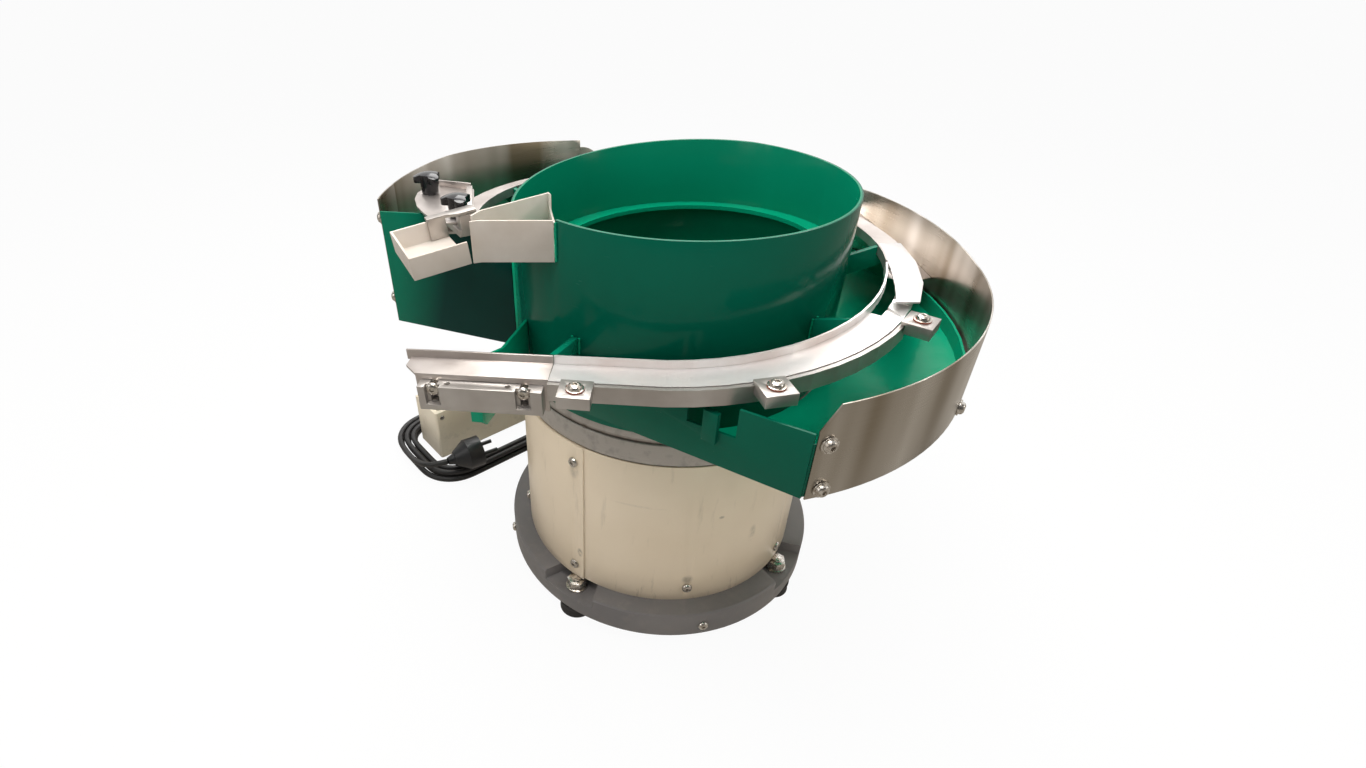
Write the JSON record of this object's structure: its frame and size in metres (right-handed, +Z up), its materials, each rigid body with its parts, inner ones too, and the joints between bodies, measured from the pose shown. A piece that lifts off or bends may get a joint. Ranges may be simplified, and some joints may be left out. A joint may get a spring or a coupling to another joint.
{
  "type": "vibratory bowl feeder",
  "caption": "Bowl feeder that sorts small parts up a spiral ledge and along an outer track to a straight outlet, on a drum-shaped spring drive with a separate controller.",
  "frame": {"origin": "on the bowl's axis at floor level", "axes": "+Z up along the bowl's axis; -Y is the side with the straight outlet, which runs out towards -X"},
  "size_m": [0.5962, 0.4873, 0.399],
  "materials": {
    "green_enamel": "glossy hard enamel, a little scratched",
    "guard_steel": "rolled stainless sheet with a fine brushed grain",
    "polished_steel": "polished stainless sheet",
    "blasted_steel": "bead-blasted stainless, warm grey",
    "machined_steel": "machined steel",
    "ring_steel": "turned steel with stains and some rust",
    "screw_steel": "stainless screws, nuts and washers",
    "cream_paint": "semi-gloss cream paint, scuffed",
    "cream_case": "textured cream paint",
    "base_casting": "painted dark grey casting",
    "spring_laminate": "glass-fibre laminate",
    "coil_tape": "taped winding",
    "black_plastic": "moulded black plastic",
    "gloss_black": "glossy black plastic",
    "rubber": "black rubber",
    "cord_black": "black cable sheath"
  },
  "bodies": {
    "drive_base": {"base_disc": "base_casting", "rubber_feet": "rubber", "foot_studs": "screw_steel", "lower_spring_blocks": "base_casting", "lower_spring_clamps": "machined_steel", "lower_spring_bolts": "screw_steel", "leaf_springs": "spring_laminate", "magnet_bracket": "base_casting", "magnet_core": "machined_steel", "magnet_coil": "coil_tape", "drum_cover": "cream_paint", "seam_strap": "machined_steel", "drum_screws": "screw_steel", "cable_glands": "black_plastic", "controller_case": "cream_case", "controller_lid": "cream_case", "controller_screws": "screw_steel", "fuse_holder": "black_plastic", "mains_lead": "cord_black", "mains_coil": "cord_black", "mains_tail": "cord_black", "mains_plug": "black_plastic", "drive_cable": "cord_black"},
    "bowl": {"top_plate": "ring_steel", "upper_spring_blocks": "base_casting", "upper_spring_clamps": "machined_steel", "upper_spring_bolts": "screw_steel", "armature": "machined_steel", "bowl_mount_disc": "ring_steel", "centre_bolt": "screw_steel", "bowl_floor": "green_enamel", "bowl_wall": "green_enamel", "spiral_track": "green_enamel", "return_pan": "green_enamel", "pan_front_panel": "green_enamel", "left_end_plate": "green_enamel", "right_guard": "guard_steel", "left_guard": "guard_steel", "guard_screws": "screw_steel", "upper_track": "polished_steel", "junction_plate": "polished_steel", "deflector_sheet": "guard_steel", "lower_track": "polished_steel", "outer_rail": "machined_steel", "outlet_track": "polished_steel", "outlet_screws": "screw_steel", "track_clamps": "machined_steel", "clamp_screws": "screw_steel", "track_arms": "green_enamel", "outlet_bracket": "green_enamel", "exit_chute": "blasted_steel", "catch_tray": "blasted_steel", "tray_bracket": "machined_steel", "selector_base": "machined_steel"},
    "selector": {"selector_plate": "polished_steel"},
    "inner_knob": {"clamp_knob_inner": "black_plastic"},
    "outer_knob": {"clamp_knob_outer": "black_plastic"},
    "side_plate": {"outlet_side_plate": "machined_steel"},
    "control_knob": {"control_knob": "black_plastic"},
    "power_rocker": {"power_rocker": "gloss_black"}
  },
  "joints": [
    {"name": "bowl_twist", "type": "hinge", "parent": "drive_base", "child": "bowl", "pos_m": [0, 0, 0.2], "axis": [0, 0, 1], "range_deg": [-0.4, 0.4], "stiffness_Nm_per_rad": 2500, "deforming": ["leaf_springs"]},
    {"name": "selector_slide", "type": "slide", "parent": "bowl", "child": "selector", "axis": [0.7894, 0.6139, 0], "range_m": [-0.004, 0.004]},
    {"name": "inner_knob_turn", "type": "hinge", "parent": "bowl", "child": "inner_knob", "pos_m": [-0.172, -0.062, 0.3798], "axis": [0, 0, 1], "range_deg": [0, 360]},
    {"name": "outer_knob_turn", "type": "hinge", "parent": "bowl", "child": "outer_knob", "pos_m": [-0.214, -0.008, 0.3798], "axis": [0, 0, 1], "range_deg": [0, 360]},
    {"name": "side_plate_slide", "type": "slide", "parent": "bowl", "child": "side_plate", "axis": [-0.03, 0, 0.9996], "range_m": [0, 0.006]},
    {"name": "control_knob_turn", "type": "hinge", "parent": "drive_base", "child": "control_knob", "pos_m": [-0.28776, 0.15143, 0.038], "axis": [0.7314, -0.682, 0], "range_deg": [0, 300]},
    {"name": "power_rocker_tilt", "type": "hinge", "parent": "drive_base", "child": "power_rocker", "pos_m": [-0.24865, 0.19154, 0.044], "axis": [0.682, 0.7314, 0], "range_deg": [-16, 0]}
  ]
}
